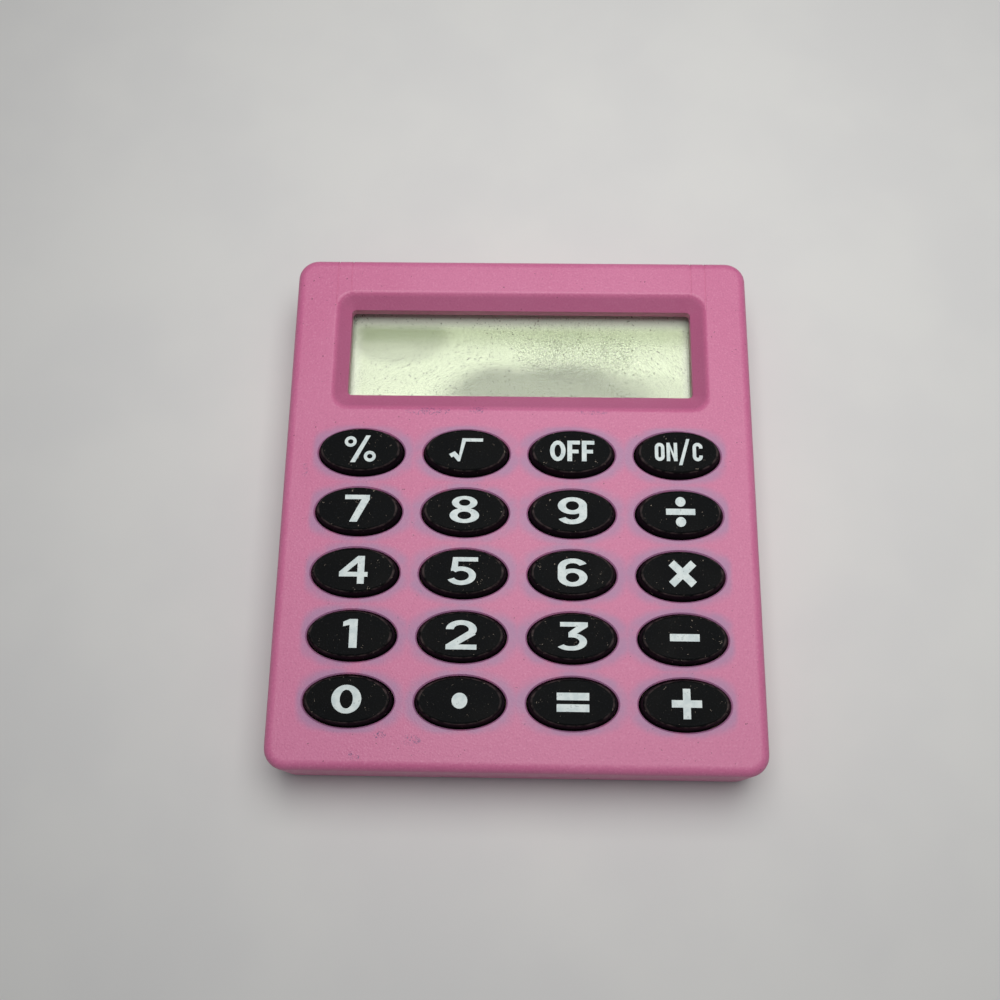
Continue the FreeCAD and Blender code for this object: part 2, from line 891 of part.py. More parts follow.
def main():
    os.makedirs("parts", exist_ok=True)
    print(f"case {case_width:.2f} x {case_length:.2f} x {face_level:.2f}, key tops at {key_top:.2f}")
    print(f"keys {key_length:.2f} x {key_width:.2f}, pitch {pitch_x:.2f} x {pitch_y:.2f}")
    pieces = {
        "front_case": front_case(),
        "rear_case": rear_case(),
        "battery_door": battery_door(),
        "display_window": display_window(),
        "lcd_front_polariser": lcd_front_polariser(),
        "lcd_upper_glass": lcd_upper_glass(),
        "lcd_lower_glass": lcd_lower_glass(),
        "lcd_reflector": lcd_reflector(),
        "lcd_flex": lcd_flex(),
        "lcd_foam_pad": lcd_foam_pad(),
        "keypad_mat": keypad_mat(),
        "circuit_board": circuit_board(),
        "contact_pads": contact_pads(),
        "chip_resin": chip_resin(),
        "small_parts": small_parts(),
        "cell_can": cell_can(),
        "cell_cap": cell_cap(),
        "contact_positive": contact_positive(),
        "contact_negative": contact_negative(),
        "case_screws": case_screws(),
    }
    for name, (x, y) in key_points.items():
        pieces["key_" + name] = key(x, y)
        pieces["pill_" + name] = pill(x, y)
    for name, shape in pieces.items():
        export(name, shape)


main()
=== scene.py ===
# %% [markdown]
# # A palm-size calculator, in Blender
# The calculator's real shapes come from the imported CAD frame: the shells, the keys, the display and
# everything inside. This script adds what a designer calls the finish: moulded plastic, rubber,
# printed legends, dust and light. It starts by loading the frame and noting its size.

# %% Load the frame
import math

import bmesh
import bpy
from mathutils import Matrix, Vector


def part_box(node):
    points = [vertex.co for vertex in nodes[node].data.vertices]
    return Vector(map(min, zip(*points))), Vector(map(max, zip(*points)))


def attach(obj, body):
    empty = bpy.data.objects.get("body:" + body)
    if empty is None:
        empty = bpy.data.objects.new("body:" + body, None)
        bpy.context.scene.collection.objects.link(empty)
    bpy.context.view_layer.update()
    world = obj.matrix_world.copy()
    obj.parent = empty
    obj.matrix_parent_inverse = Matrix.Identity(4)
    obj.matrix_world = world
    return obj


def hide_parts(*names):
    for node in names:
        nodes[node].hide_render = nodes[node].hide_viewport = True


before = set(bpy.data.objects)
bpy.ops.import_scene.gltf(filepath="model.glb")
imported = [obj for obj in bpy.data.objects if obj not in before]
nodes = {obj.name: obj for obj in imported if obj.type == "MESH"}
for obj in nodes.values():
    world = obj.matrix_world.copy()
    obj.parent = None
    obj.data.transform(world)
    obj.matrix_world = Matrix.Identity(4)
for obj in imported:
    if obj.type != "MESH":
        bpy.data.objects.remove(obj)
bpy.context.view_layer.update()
MM = 0.001

# %% [markdown]
# ## Sizes that the finish needs
# Patterns such as the grime round each key have to follow the keys, so the spacing of the keys is
# measured from the frame: two neighbours give the pitch, and one key gives the oval's half axes.


# %% Measure the keys
def middle(node):
    low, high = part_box(node)
    return (low + high) / 2


key_low, key_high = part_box("key_5")
key_a = (key_high.x - key_low.x) / 2
key_b = (key_high.y - key_low.y) / 2
key_top = key_high.z
pitch_x = middle("key_6").x - middle("key_5").x
pitch_y = middle("key_5").y - middle("key_2").y
face_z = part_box("front_case")[1].z
print("pitch in mm", round(pitch_x / MM, 2), round(pitch_y / MM, 2))
print("key half axes in mm", round(key_a / MM, 2), round(key_b / MM, 2))

# %% [markdown]
# ## Colours and shader nodes
# Colours are picked as sRGB hex values, the way a paint chart gives them, but light is computed in
# linear values, so one function turns one into the other. A second function adds a shader node, sets
# its settings, and fills or links its inputs. A value may be a number, a colour, one exact output of
# another node, or a whole node, which stands for its first output.


# %% The colour function and the node function
def linear(hex_colour):
    channels = [int(hex_colour[i : i + 2], 16) / 255 for i in (0, 2, 4)]
    return tuple(c / 12.92 if c <= 0.04045 else ((c + 0.055) / 1.055) ** 2.4 for c in channels) + (1.0,)


def add(material, kind, inputs, **settings):
    node = material.node_tree.nodes.new("ShaderNode" + kind)
    for name, value in settings.items():
        setattr(node, name, value)
    for name, value in inputs.items():
        if isinstance(value, bpy.types.Node):
            value = value.outputs[0]
        if isinstance(value, bpy.types.NodeSocket):
            material.node_tree.links.new(value, node.inputs[name])
        else:
            node.inputs[name].default_value = value
    return node


print("mid grey 808080 is", round(linear("808080")[0], 3), "in linear light")

# %% [markdown]
# A material here starts empty with the object's own coordinates, so that a pattern is fixed to the
# piece and measured in metres, and it ends with a shader linked to the output.


# %% Start, finish and give a material
def start_material(name):
    material = bpy.data.materials.new(name)
    material.use_nodes = True
    material.node_tree.nodes.clear()
    return material, add(material, "TexCoord", {}).outputs["Object"]


def finish_material(material, shader):
    add(material, "OutputMaterial", {"Surface": shader}).is_active_output = True
    return material


def give(material, *node_names):
    for name in node_names:
        for slot in nodes[name].material_slots:
            slot.material = material
    print(material.name, "on", ", ".join(node_names[:3]), "..." if len(node_names) > 3 else "")


print(sum(len(piece.material_slots) for piece in nodes.values()), "material slots to fill")

# %% [markdown]
# ## Patterns
# Most dirt and wear is one colour laid over another where some pattern is strong: the pattern goes
# through a soft step, and the step drives a mix. Two more patterns say where: a band is 1 between two
# levels of a value and fades out past them, and a spot is 1 in its middle and fades out all round.


# %% Lay, band and spot
SOFT = {"interpolation_type": "SMOOTHSTEP"}


def lay(material, under, over, pattern, start, end, strength=1.0):
    """Lays a colour over another: none of it where the pattern is start, strength of it at end."""
    amount = add(material, "MapRange", {0: pattern, 1: start, 2: end, 4: strength}, **SOFT)
    return add(material, "Mix", {0: amount, 6: under, 7: linear(over)}, data_type="RGBA").outputs[2]


def band(material, value, low, high, soft):
    rising = add(material, "MapRange", {0: value, 1: low - soft, 2: low}, **SOFT)
    falling = add(material, "MapRange", {0: value, 1: high + soft, 2: high}, **SOFT)
    return add(material, "Math", {0: rising, 1: falling}, operation="MULTIPLY")


def spot(material, position, centre, half_x, half_y):
    """Half sizes in millimetres round a centre in metres."""
    reach = (half_x * MM, half_y * MM, 3 * MM)
    placing = {"Vector": position, "Location": centre, "Scale": reach}
    placed = add(material, "Mapping", placing, vector_type="TEXTURE")
    ball = add(material, "TexGradient", {"Vector": placed}, gradient_type="SPHERICAL")
    return add(material, "MapRange", {0: ball.outputs["Fac"], 1: 0.0, 2: 0.55}, **SOFT)


print("three patterns, with soft steps by", SOFT["interpolation_type"].lower())

# %% [markdown]
# ### Where a point lies relative to its key
# Every key has the same oval, repeated on a grid. Wrapping the X and Y coordinates by the pitch
# gives each point its place relative to the nearest key, as if there were only one key. Dividing by
# the oval's half axes turns the oval into a circle, so one number says how far out a point lies:
# 1 at the key's edge, less on its top, more on the case around it.


# %% Oval distance
def oval_distance(material, position):
    split = add(material, "SeparateXYZ", {0: position})
    squares = []
    for axis, pitch, half, centre in (
        ("X", pitch_x, key_a, middle("key_5").x),
        ("Y", pitch_y, key_b, middle("key_5").y),
    ):
        moved = add(material, "Math", {0: split.outputs[axis], 1: centre}, operation="SUBTRACT")
        wrapped = add(material, "Math", {0: moved, 1: pitch / 2, 2: -pitch / 2}, operation="WRAP")
        share = add(material, "Math", {0: wrapped, 1: half}, operation="DIVIDE")
        squares.append(add(material, "Math", {0: share, 1: 2.0}, operation="POWER"))
    total = add(material, "Math", {0: squares[0], 1: squares[1]}, operation="ADD")
    return add(material, "Math", {0: total}, operation="SQRT")


print("the gap between two keys reaches out to", round(pitch_x / key_a - 1, 2), "on this scale")

# %% [markdown]
# ## The pink case
# The case is injection-moulded ABS. The mould was spark-eroded, which leaves a fine matte grain with
# a slight sparkle. Its grain is really under a tenth of a millimetre, and is drawn at a fifth so that
# it shows. Dark specks of dirt have settled in it.


# %% The grain of the case
CASE_PINK = "CC6B97"
CASE_PINK_LIGHT = "D0739D"


def eroded_grain(material, position):
    """The colour and the bump that every part of the case shares."""
    cloud = add(material, "TexNoise", {"Vector": position, "Scale": 1 / (14 * MM), "Detail": 3.0})
    colour = lay(material, linear(CASE_PINK), CASE_PINK_LIGHT, cloud, 0.35, 0.65)
    grain = add(material, "TexNoise", {"Vector": position, "Scale": 1 / (0.2 * MM), "Detail": 2.0})
    colour = lay(material, colour, "ECA6C6", grain, 0.52, 0.78, 0.28)
    colour = lay(material, colour, "9A4C72", grain, 0.46, 0.26, 0.22)
    speck = add(material, "TexNoise", {"Vector": position, "Scale": 1 / (0.34 * MM), "Detail": 1.0})
    colour = lay(material, colour, "47222F", speck, 0.765, 0.8, 0.7)
    bump = add(material, "Bump", {"Height": grain, "Strength": 0.6, "Distance": 0.05 * MM})
    return colour, cloud, bump


print("case pink", CASE_PINK, "to", CASE_PINK_LIGHT)

# %% [markdown]
# ### Haze and ink on the front
# Round each key lies a violet-grey haze that is partly grime, where a finger wipes past and never quite
# reaches, and partly painted shade where the case meets the key. The haze is the oval distance, kept to
# the face and to the block of keys, and broken up by a softer noise. Below the display and near the front
# edge are smudges of ink, which are soft spots broken up by a fine, tangled noise.


# %% Haze and ink
def key_grime_and_shade(material, position, colour):
    split = add(material, "SeparateXYZ", {0: position})
    distance = oval_distance(material, position)
    near = add(material, "MapRange", {0: distance, 1: 1.62, 2: 1.02}, **SOFT)
    broken = add(material, "TexNoise", {"Vector": position, "Scale": 1 / (2.2 * MM), "Detail": 4.0})
    amount = add(material, "Math", {0: near, 1: broken}, operation="MULTIPLY")
    for axis, low, high, soft in (
        ("X", middle("key_4").x - key_a - 0.3 * MM, middle("key_times").x + key_a + 0.3 * MM, MM),
        ("Y", middle("key_0").y - key_b - 0.3 * MM, middle("key_root").y + key_b + 0.3 * MM, MM),
        ("Z", face_z - 0.05 * MM, face_z + 1.0 * MM, 0.35 * MM),
    ):
        inside = band(material, split.outputs[axis], low, high, soft)
        amount = add(material, "Math", {0: amount, 1: inside}, operation="MULTIPLY")
    # grime and painted shade: violet-grey laid round each key, where the case meets it
    return lay(material, colour, "A27DA6", amount, 0.03, 0.55, 0.72)


def ink_smudges(material, position, colour):
    tangle = {"Vector": position, "Scale": 1 / (0.5 * MM), "Detail": 5.0, "Roughness": 0.7}
    strands = add(material, "TexNoise", {**tangle, "Distortion": 2.0})
    below_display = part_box("display_window")[0].y - 1.35 * MM
    front_row = middle("key_0").y
    for x, y, half_x, half_y, strength in (
        (-10.0, below_display, 4.6, 0.9, 0.8),
        (-4.6, below_display + 0.2 * MM, 2.2, 0.8, 0.6),
        (8.0, below_display, 3.2, 0.5, 0.4),
        (-13.9, front_row - 3.4 * MM, 1.3, 0.7, 0.9),
        (-16.4, front_row - 5.5 * MM, 1.1, 0.9, 0.9),
        (-10.8, front_row - 3.9 * MM, 2.0, 1.0, 0.7),
        (-23.4, 3.0 * MM, 0.7, 1.6, 0.5),
    ):
        centre = (x * MM, y, face_z)
        here = spot(material, position, centre, half_x, half_y)
        amount = add(material, "Math", {0: here, 1: strands}, operation="MULTIPLY")
        colour = lay(material, colour, "4C4270", amount, 0.5, 0.62, strength)
    return colour


print("haze and seven smudges for the front")

# %% [markdown]
# ### The slopes round the display
# The display lies in a recess with sloping sides. The sides are steep, and shade is painted on them, so
# they look darker than the face. The painted shade is kept to the levels below the face and to the
# surroundings of the window.


# %% Shaded slopes
def painted_recess_shade(material, position, colour):
    split = add(material, "SeparateXYZ", {0: position})
    low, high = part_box("display_window")
    amount = add(material, "MapRange", {0: split.outputs["Z"], 1: face_z - 0.1 * MM, 2: face_z - 0.5 * MM})
    for axis, start, end in (("X", low.x, high.x), ("Y", low.y, high.y)):
        inside = band(material, split.outputs[axis], start - 2 * MM, end + 2 * MM, 0.6 * MM)
        amount = add(material, "Math", {0: amount, 1: inside}, operation="MULTIPLY")
    # painted shade: the slopes are darkened towards a deeper pink
    return lay(material, colour, "A4587C", amount, 0.0, 1.0, 0.5)


print("slopes shaded below", round(face_z / MM - 0.1, 2), "mm")

# %% [markdown]
# ### One material for each shell
# The front and the back are the same plastic. Only the front gets the haze of grime and painted shade
# round the keys, the smudges and the painted shade on the slopes. The gloss drifts with the same cloud
# as the colour, as handling polishes ABS unevenly.


# %% Moulded ABS
def moulded_abs(name, front):
    material, position = start_material(name)
    colour, cloud, bump = eroded_grain(material, position)
    if front:
        colour = key_grime_and_shade(material, position, colour)
        colour = ink_smudges(material, position, colour)
        colour = painted_recess_shade(material, position, colour)
    gloss = add(material, "MapRange", {0: cloud, 1: 0.3, 2: 0.7, 3: 0.42, 4: 0.52})
    surface = {"Base Color": colour, "Roughness": gloss, "IOR": 1.54, "Normal": bump}
    return finish_material(material, add(material, "BsdfPrincipled", surface))


give(moulded_abs("moulded_abs_front", True), "front_case")
give(moulded_abs("moulded_abs_back", False), "rear_case", "battery_door")

# %% [markdown]
# ## The rubber keys
# The keys are one black silicone moulding, matte with a faint bloom. Skin flakes and lint cling to
# silicone, and the rim of each top is rubbed to a lighter line. The rim is the oval distance again.


# %% Silicone rubber
def silicone(name, with_rim):
    material, position = start_material(name)
    cloud = add(material, "TexNoise", {"Vector": position, "Scale": 1 / (3 * MM), "Detail": 4.0})
    colour = lay(material, linear("060708"), "0B0D0F", cloud, 0.3, 0.7)
    if with_rim:
        split = add(material, "SeparateXYZ", {0: position})
        edge = band(material, oval_distance(material, position), 0.9, 0.925, 0.045)
        level = band(material, split.outputs["Z"], key_top - 0.3 * MM, key_top, 0.1 * MM)
        rubbed = add(material, "TexNoise", {"Vector": position, "Scale": 1 / (0.8 * MM), "Detail": 3.0})
        line = add(material, "Math", {0: edge, 1: level}, operation="MULTIPLY")
        line = add(material, "Math", {0: line, 1: rubbed}, operation="MULTIPLY")
        colour = lay(material, colour, "5E4F50", line, 0.3, 0.7, 0.5)
    crumbs = {"Vector": position, "Scale": 1 / (0.28 * MM), "Detail": 1.5, "Distortion": 1.2}
    colour = lay(material, colour, "A5988A", add(material, "TexNoise", crumbs), 0.725, 0.76, 0.7)
    grain = add(material, "TexNoise", {"Vector": position, "Scale": 1 / (0.16 * MM), "Detail": 2.0})
    colour = lay(material, colour, "25282B", grain, 0.55, 0.75, 0.45)
    bump = add(material, "Bump", {"Height": grain, "Strength": 0.5, "Distance": 0.03 * MM})
    gloss = add(material, "MapRange", {0: cloud, 1: 0.3, 2: 0.7, 3: 0.55, 4: 0.68})
    surface = {"Base Color": colour, "Roughness": gloss, "IOR": 1.41, "Normal": bump}
    surface["Specular IOR Level"] = 0.1
    return finish_material(material, add(material, "BsdfPrincipled", surface))


key_rubber = silicone("silicone_rubber_keys", True)
key_nodes = sorted(name for name in nodes if name.startswith("key_"))
pill_nodes = sorted(name for name in nodes if name.startswith("pill_"))
give(silicone("silicone_rubber_sheet", False), "keypad_mat", *pill_nodes)

# %% [markdown]
# The CAD key has a dead flat top and a few dozen facets. A moulded rubber key is softer: its top swells
# a little, and its rim rolls over smoothly. So each key is made again, in the same space: a circle of
# many points is stretched to the oval, extruded up past the case, drawn in a little as the mould's
# draft is, bevelled at the rim, and drawn in by rings that rise to the crown.

# %% Soft key caps
KEY_SEGMENTS = 96
KEY_DRAFT = 0.22
KEY_RIM = 0.24
KEY_CROWN = 0.09


def crown_height(x, y):
    """Height of the key's top above its rim's level, at x, y from the key's middle."""
    share = (x / key_a) ** 2 + (y / key_b) ** 2
    return KEY_CROWN * MM * max(0.0, 1 - share)


def soft_key(name):
    low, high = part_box(name)
    centre = middle(name)
    shoulder = face_z - 0.2 * MM
    rim_level = high.z - KEY_CROWN * MM
    bm = bmesh.new()
    stretch = Matrix.Translation((centre.x, centre.y, low.z)) @ Matrix.Diagonal((key_a, key_b, 1, 1))
    bmesh.ops.create_circle(bm, cap_ends=True, segments=KEY_SEGMENTS, radius=1, matrix=stretch)
    bmesh.ops.recalc_face_normals(bm, faces=bm.faces)
    top = bm.faces[:]
    for level, narrower in ((shoulder, 0.0), (rim_level, KEY_DRAFT * MM)):
        grown = bmesh.ops.extrude_face_region(bm, geom=top)["geom"]
        top = [item for item in grown if isinstance(item, bmesh.types.BMFace)]
        verts = top[0].verts[:]
        bmesh.ops.translate(bm, verts=verts, vec=(0, 0, level - verts[0].co.z))
        shrink = Matrix.Diagonal((1 - narrower / key_a, 1 - narrower / key_b, 1, 1))
        about = Matrix.Translation((-centre.x, -centre.y, 0))
        bmesh.ops.transform(bm, matrix=shrink, space=about, verts=verts)
    rim = [edge for edge in bm.edges if all(abs(v.co.z - rim_level) < 1e-7 for v in edge.verts)]
    bmesh.ops.bevel(
        bm, geom=rim, offset=KEY_RIM * MM, affect="EDGES", segments=5, profile=0.5, material=-1
    )
    cap = max(bm.faces, key=lambda face: (round(face.calc_center_median().z, 7), face.calc_area()))
    for share in (0.86, 0.84, 0.8, 0.72, 0.6, 0.4):
        grown = bmesh.ops.extrude_face_region(bm, geom=[cap])["geom"]
        cap = [item for item in grown if isinstance(item, bmesh.types.BMFace)][0]
        about = Matrix.Translation((-centre.x, -centre.y, 0))
        bmesh.ops.scale(bm, vec=(share, share, 1), space=about, verts=cap.verts[:])
    for vert in bm.verts:
        if vert.co.z > rim_level - 1e-7:
            vert.co.z = rim_level + crown_height(vert.co.x - centre.x, vert.co.y - centre.y)
    bmesh.ops.recalc_face_normals(bm, faces=bm.faces)
    mesh = bpy.data.meshes.new("rubber_" + name)
    bm.to_mesh(mesh)
    bm.free()
    mesh.shade_smooth()
    mesh.set_sharp_from_angle(angle=math.radians(50))
    mesh.materials.append(key_rubber)
    cap_piece = bpy.data.objects.new("rubber_" + name, mesh)
    bpy.context.scene.collection.objects.link(cap_piece)
    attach(cap_piece, name)
    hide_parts(name)
    return cap_piece


soft_keys = [soft_key(name) for name in key_nodes]
print(len(soft_keys), "soft keys of", len(soft_keys[0].data.polygons), "faces each")

# %% [markdown]
# ## Printed legends
# The legends are white ink, pad-printed on the key tops. The lettering is wide and bold, and each
# sign is made of strokes of even width, so the print is drawn the way a pen would: an edge as wide as
# the nib is extruded along straight runs and spun round bends. Rings are two circles bridged, bars are
# one-cell grids, and a few slanted strokes are single faces. Each finished sign is fitted to its real
# width and height, which also makes upright strokes heavier than level ones, as wide type has.


# %% The pen
def bar(bm, left, right, bottom, top):
    place = Matrix.Translation(((left + right) / 2, (bottom + top) / 2, 0))
    size = Matrix.Diagonal((right - left, top - bottom, 1, 1))
    bmesh.ops.create_grid(bm, x_segments=1, y_segments=1, size=0.5, matrix=place @ size)


def patch(bm, corners):
    verts = [bmesh.ops.create_vert(bm, co=(x, y, 0))["vert"][0] for x, y in corners]
    bmesh.ops.contextual_create(bm, geom=verts)


def disc(bm, x, y, radius):
    bmesh.ops.create_circle(
        bm, cap_ends=True, segments=40, radius=radius, matrix=Matrix.Translation((x, y, 0))
    )


def ring(bm, x, y, outer, inner):
    """An oval ring: outer and inner are its half sizes along X and Y."""
    edges = []
    for half_x, half_y in (outer, inner):
        place = Matrix.Translation((x, y, 0)) @ Matrix.Diagonal((half_x, half_y, 1, 1))
        made = bmesh.ops.create_circle(bm, segments=48, radius=1, matrix=place)
        edges += list({edge for vert in made["verts"] for edge in vert.link_edges})
    bmesh.ops.bridge_loops(bm, edges=edges)


def pen(bm, x, y, heading, nib, moves):
    """Draws one stroke. A move is ("go", length) or ("bend", radius, degrees), left turns positive."""
    angle = math.radians(heading)
    place = Vector((x, y, 0))
    across = Vector((-math.sin(angle), math.cos(angle), 0)) * nib / 2
    verts = [bmesh.ops.create_vert(bm, co=place + side * across)["vert"][0] for side in (-1, 1)]
    edge = bmesh.ops.contextual_create(bm, geom=verts)["edges"][0]
    for move in moves:
        if move[0] == "go":
            step = Vector((math.cos(angle), math.sin(angle), 0)) * move[1]
            grown = bmesh.ops.extrude_edge_only(bm, edges=[edge])["geom"]
            verts = [item for item in grown if isinstance(item, bmesh.types.BMVert)]
            bmesh.ops.translate(bm, verts=verts, vec=step)
            place = place + step
        else:
            turn = math.radians(move[2])
            side = 1 if turn > 0 else -1
            centre = place + Vector((-math.sin(angle), math.cos(angle), 0)) * side * move[1]
            grown = bmesh.ops.spin(
                bm,
                geom=[edge, *edge.verts],
                cent=centre,
                axis=(0, 0, 1),
                angle=turn,
                steps=max(3, int(abs(move[2]) / 9)),
                use_duplicate=False,
            )["geom_last"]
            place = centre + Matrix.Rotation(turn, 3, "Z") @ (place - centre)
            angle += turn
        edge = [item for item in grown if isinstance(item, bmesh.types.BMEdge)][0]
    return place


trial = bmesh.new()
ending = pen(trial, 0, 0, 90, 0.5, [("go", 1.0), ("bend", 0.5, 180), ("go", 1.0)])
print("a trial hook ends at", round(ending.x, 3), round(ending.y, 3), "from", len(trial.faces), "faces")
trial.free()


# %% [markdown]
# ### The signs
# Every sign is one short function that draws into a bmesh round its own middle, in millimetres. The
# round digits are drawn narrow, and the fit widens them. The nine is the six turned half round.


# %% Digits
def digit_0(bm):
    ring(bm, 0, 0, (1.5, 1.5), (0.66, 0.98))


def digit_1(bm):
    bar(bm, -0.05, 0.75, -1.5, 1.5)
    patch(bm, [(-0.05, 1.5), (-0.7, 1.2), (-0.7, 0.72), (-0.05, 0.88)])


def digit_2(bm):
    pen(bm, -0.71, 0.62, 90, 0.5, [("bend", 0.72, -208)])
    patch(bm, [(0.93, 0.1), (0.42, 0.42), (-0.95, -1.02), (-0.95, -1.5), (-0.2, -1.02)])
    bar(bm, -0.95, 0.98, -1.5, -0.98)


def digit_3(bm):
    bar(bm, -0.75, 0.82, 1.05, 1.5)
    patch(bm, [(0.82, 1.05), (0.18, 1.05), (-0.28, 0.48), (-0.28, 0.12), (0.22, 0.38)])
    pen(bm, -0.28, 0.2, 0, 0.42, [("go", 0.2), ("bend", 0.64, -180), ("go", 0.12), ("bend", 0.66, -52)])


def digit_4(bm):
    bar(bm, 0.42, 1.14, -1.5, 1.5)
    bar(bm, -1.5, 1.5, -0.74, -0.24)
    patch(bm, [(0.42, 1.5), (-1.5, -0.24), (-0.66, -0.24), (0.42, 0.74)])


def digit_5(bm):
    bar(bm, -0.72, 0.84, 1.05, 1.5)
    patch(bm, [(-0.8, 1.5), (-0.44, 1.5), (-0.48, 0.18), (-0.92, 0.02)])
    pen(bm, -0.78, 0.06, 46, 0.46, [("bend", 0.74, -290)])


def digit_6(bm):
    ring(bm, 0, -0.55, (0.95, 0.95), (0.43, 0.5))
    pen(bm, -0.7, -0.6, 90, 0.5, [("go", 1.12), ("bend", 0.72, -155)])


def digit_7(bm):
    bar(bm, -1.3, 1.3, 1.0, 1.5)
    patch(bm, [(1.3, 1.0), (0.45, 1.0), (-0.75, -1.5), (0.05, -1.5)])


def digit_8(bm):
    ring(bm, 0, 0.76, (0.82, 0.74), (0.36, 0.36))
    ring(bm, 0, -0.66, (0.95, 0.84), (0.44, 0.42))


def digit_9(bm):
    digit_6(bm)
    bmesh.ops.rotate(bm, verts=bm.verts, matrix=Matrix.Rotation(math.pi, 3, "Z"))


digits = (digit_0, digit_1, digit_2, digit_3, digit_4, digit_5, digit_6, digit_7, digit_8, digit_9)
print(len(digits), "digits")

# %% [markdown]
# The operators are bars, discs and slanted strokes. The two words, for off and for on with clear, are
# in narrower letters, because each has to fit on one key.


# %% Signs and words
def sign_point(bm):
    disc(bm, 0, 0, 0.8)


def sign_equals(bm):
    bar(bm, -1.65, 1.65, 0.2, 0.96)
    bar(bm, -1.65, 1.65, -0.96, -0.2)


def sign_minus(bm):
    bar(bm, -1.52, 1.52, -0.38, 0.38)


def sign_plus(bm):
    bar(bm, -1.52, 1.52, -0.37, 0.37)
    bar(bm, -0.38, 0.38, 0.37, 1.52)
    bar(bm, -0.38, 0.38, -1.52, -0.37)


def sign_times(bm):
    sign_plus(bm)
    bmesh.ops.rotate(bm, verts=bm.verts, matrix=Matrix.Rotation(math.radians(45), 3, "Z"))


def sign_divide(bm):
    bar(bm, -1.55, 1.55, -0.34, 0.34)
    disc(bm, 0, 1.12, 0.54)
    disc(bm, 0, -1.12, 0.54)


def sign_percent(bm):
    patch(bm, [(-1.05, -1.55), (-0.5, -1.55), (1.1, 1.55), (0.6, 1.55)])
    ring(bm, -1.1, 0.82, (0.66, 0.62), (0.3, 0.26))
    ring(bm, 1.1, -0.86, (0.66, 0.62), (0.3, 0.26))


def sign_root(bm):
    patch(bm, [(-1.82, -0.5), (-1.2, -0.18), (-1.05, -0.62), (-1.55, -0.9)])
    patch(bm, [(-1.2, -0.18), (-1.55, -0.5), (-0.86, -1.32), (-0.62, -1.32), (-0.72, -0.7)])
    patch(bm, [(-0.86, -1.32), (-0.62, -1.32), (-0.05, 0.95), (-0.05, 1.32), (-0.42, 1.32)])
    bar(bm, -0.42, 1.82, 0.95, 1.32)


def letter_f(bm, x):
    bar(bm, x, x + 0.52, -1.18, 1.18)
    bar(bm, x + 0.52, x + 1.38, 0.74, 1.18)
    bar(bm, x + 0.52, x + 1.22, -0.28, 0.14)


def word_off(bm):
    ring(bm, -1.55, 0, (0.85, 1.18), (0.36, 0.72))
    letter_f(bm, -0.5)
    letter_f(bm, 1.08)


def word_on_clear(bm):
    letter_o = [("go", 0.5), ("bend", 0.34, -180), ("go", 1.0), ("bend", 0.34, -180), ("go", 0.5)]
    letter_c = [("go", 0.1), ("bend", 0.36, 180), ("go", 1.0), ("bend", 0.36, 180), ("go", 0.1)]
    pen(bm, -2.38, 0.0, 90, 0.38, letter_o)
    bar(bm, -1.28, -0.9, -1.05, 1.05)
    bar(bm, -0.48, -0.1, -1.05, 1.05)
    patch(bm, [(-0.95, 1.05), (-0.45, -0.35), (-0.45, -1.05), (-0.92, 0.4)])
    patch(bm, [(0.05, -1.5), (0.42, -1.5), (1.28, 1.5), (0.92, 1.5)])
    pen(bm, 2.5, 0.42, 90, 0.38, letter_c)


print("eight signs and two words")


# %% [markdown]
# ### From drawing to print
# Each drawing is scaled to the size that the real sign has, given a few hundredths of a millimetre
# of thickness, and laid on its key's top, so it goes down with the key when the key is pressed. The
# top is crowned, so the print is first cut into small fields that can follow the swelling.

# %% The sizes of the signs, in millimetres
signs = {
    "percent": (sign_percent, 3.45, 3.1),
    "root": (sign_root, 3.65, 2.65),
    "off": (word_off, 4.8, 2.35),
    "on_clear": (word_on_clear, 5.15, 3.0),
    "7": (digit_7, 2.65, 3.0),
    "8": (digit_8, 3.15, 3.0),
    "9": (digit_9, 3.1, 3.0),
    "divide": (sign_divide, 3.1, 3.3),
    "4": (digit_4, 3.0, 3.0),
    "5": (digit_5, 3.15, 3.0),
    "6": (digit_6, 3.1, 3.0),
    "times": (sign_times, 2.9, 2.9),
    "1": (digit_1, 1.5, 3.0),
    "2": (digit_2, 3.2, 3.05),
    "3": (digit_3, 3.1, 2.95),
    "minus": (sign_minus, 3.05, 0.76),
    "0": (digit_0, 3.05, 2.9),
    "point": (sign_point, 1.6, 1.6),
    "equals": (sign_equals, 3.3, 1.92),
    "plus": (sign_plus, 3.05, 3.05),
}
INK_THICKNESS = 0.03
INK_LAYER = 0.004
widest = max(width for draw, width, height in signs.values())
print("the widest sign is", widest, "mm on a key of", round(2 * key_a / MM, 1), "mm")

# %% [markdown]
# The ink is an opaque white with a cold cast. It lies unevenly, and fingers have worn it thin in
# places, where the black rubber darkens it.


# %% The ink
def white_ink():
    material, position = start_material("pad_printed_white_ink")
    patchy = add(material, "TexNoise", {"Vector": position, "Scale": 1 / (0.7 * MM), "Detail": 4.0})
    colour = lay(material, linear("C9D6D8"), "DCE6E6", patchy, 0.35, 0.6)
    wear = {"Vector": position, "Scale": 1 / (0.35 * MM), "Detail": 4.0, "Roughness": 0.7}
    colour = lay(material, colour, "828F93", add(material, "TexNoise", wear), 0.56, 0.7, 0.6)
    surface = {"Base Color": colour, "Roughness": 0.55, "IOR": 1.5}
    return finish_material(material, add(material, "BsdfPrincipled", surface))


ink = white_ink()
print("legends are printed in", ink.name)

# %% [markdown]
# Where two strokes of a sign cross, their tops would lie in exactly the same plane, and a renderer
# can't tell which is in front. So each stroke is a few thousandths of a millimetre thicker than the
# one before, found by walking from corner to corner over its edges.


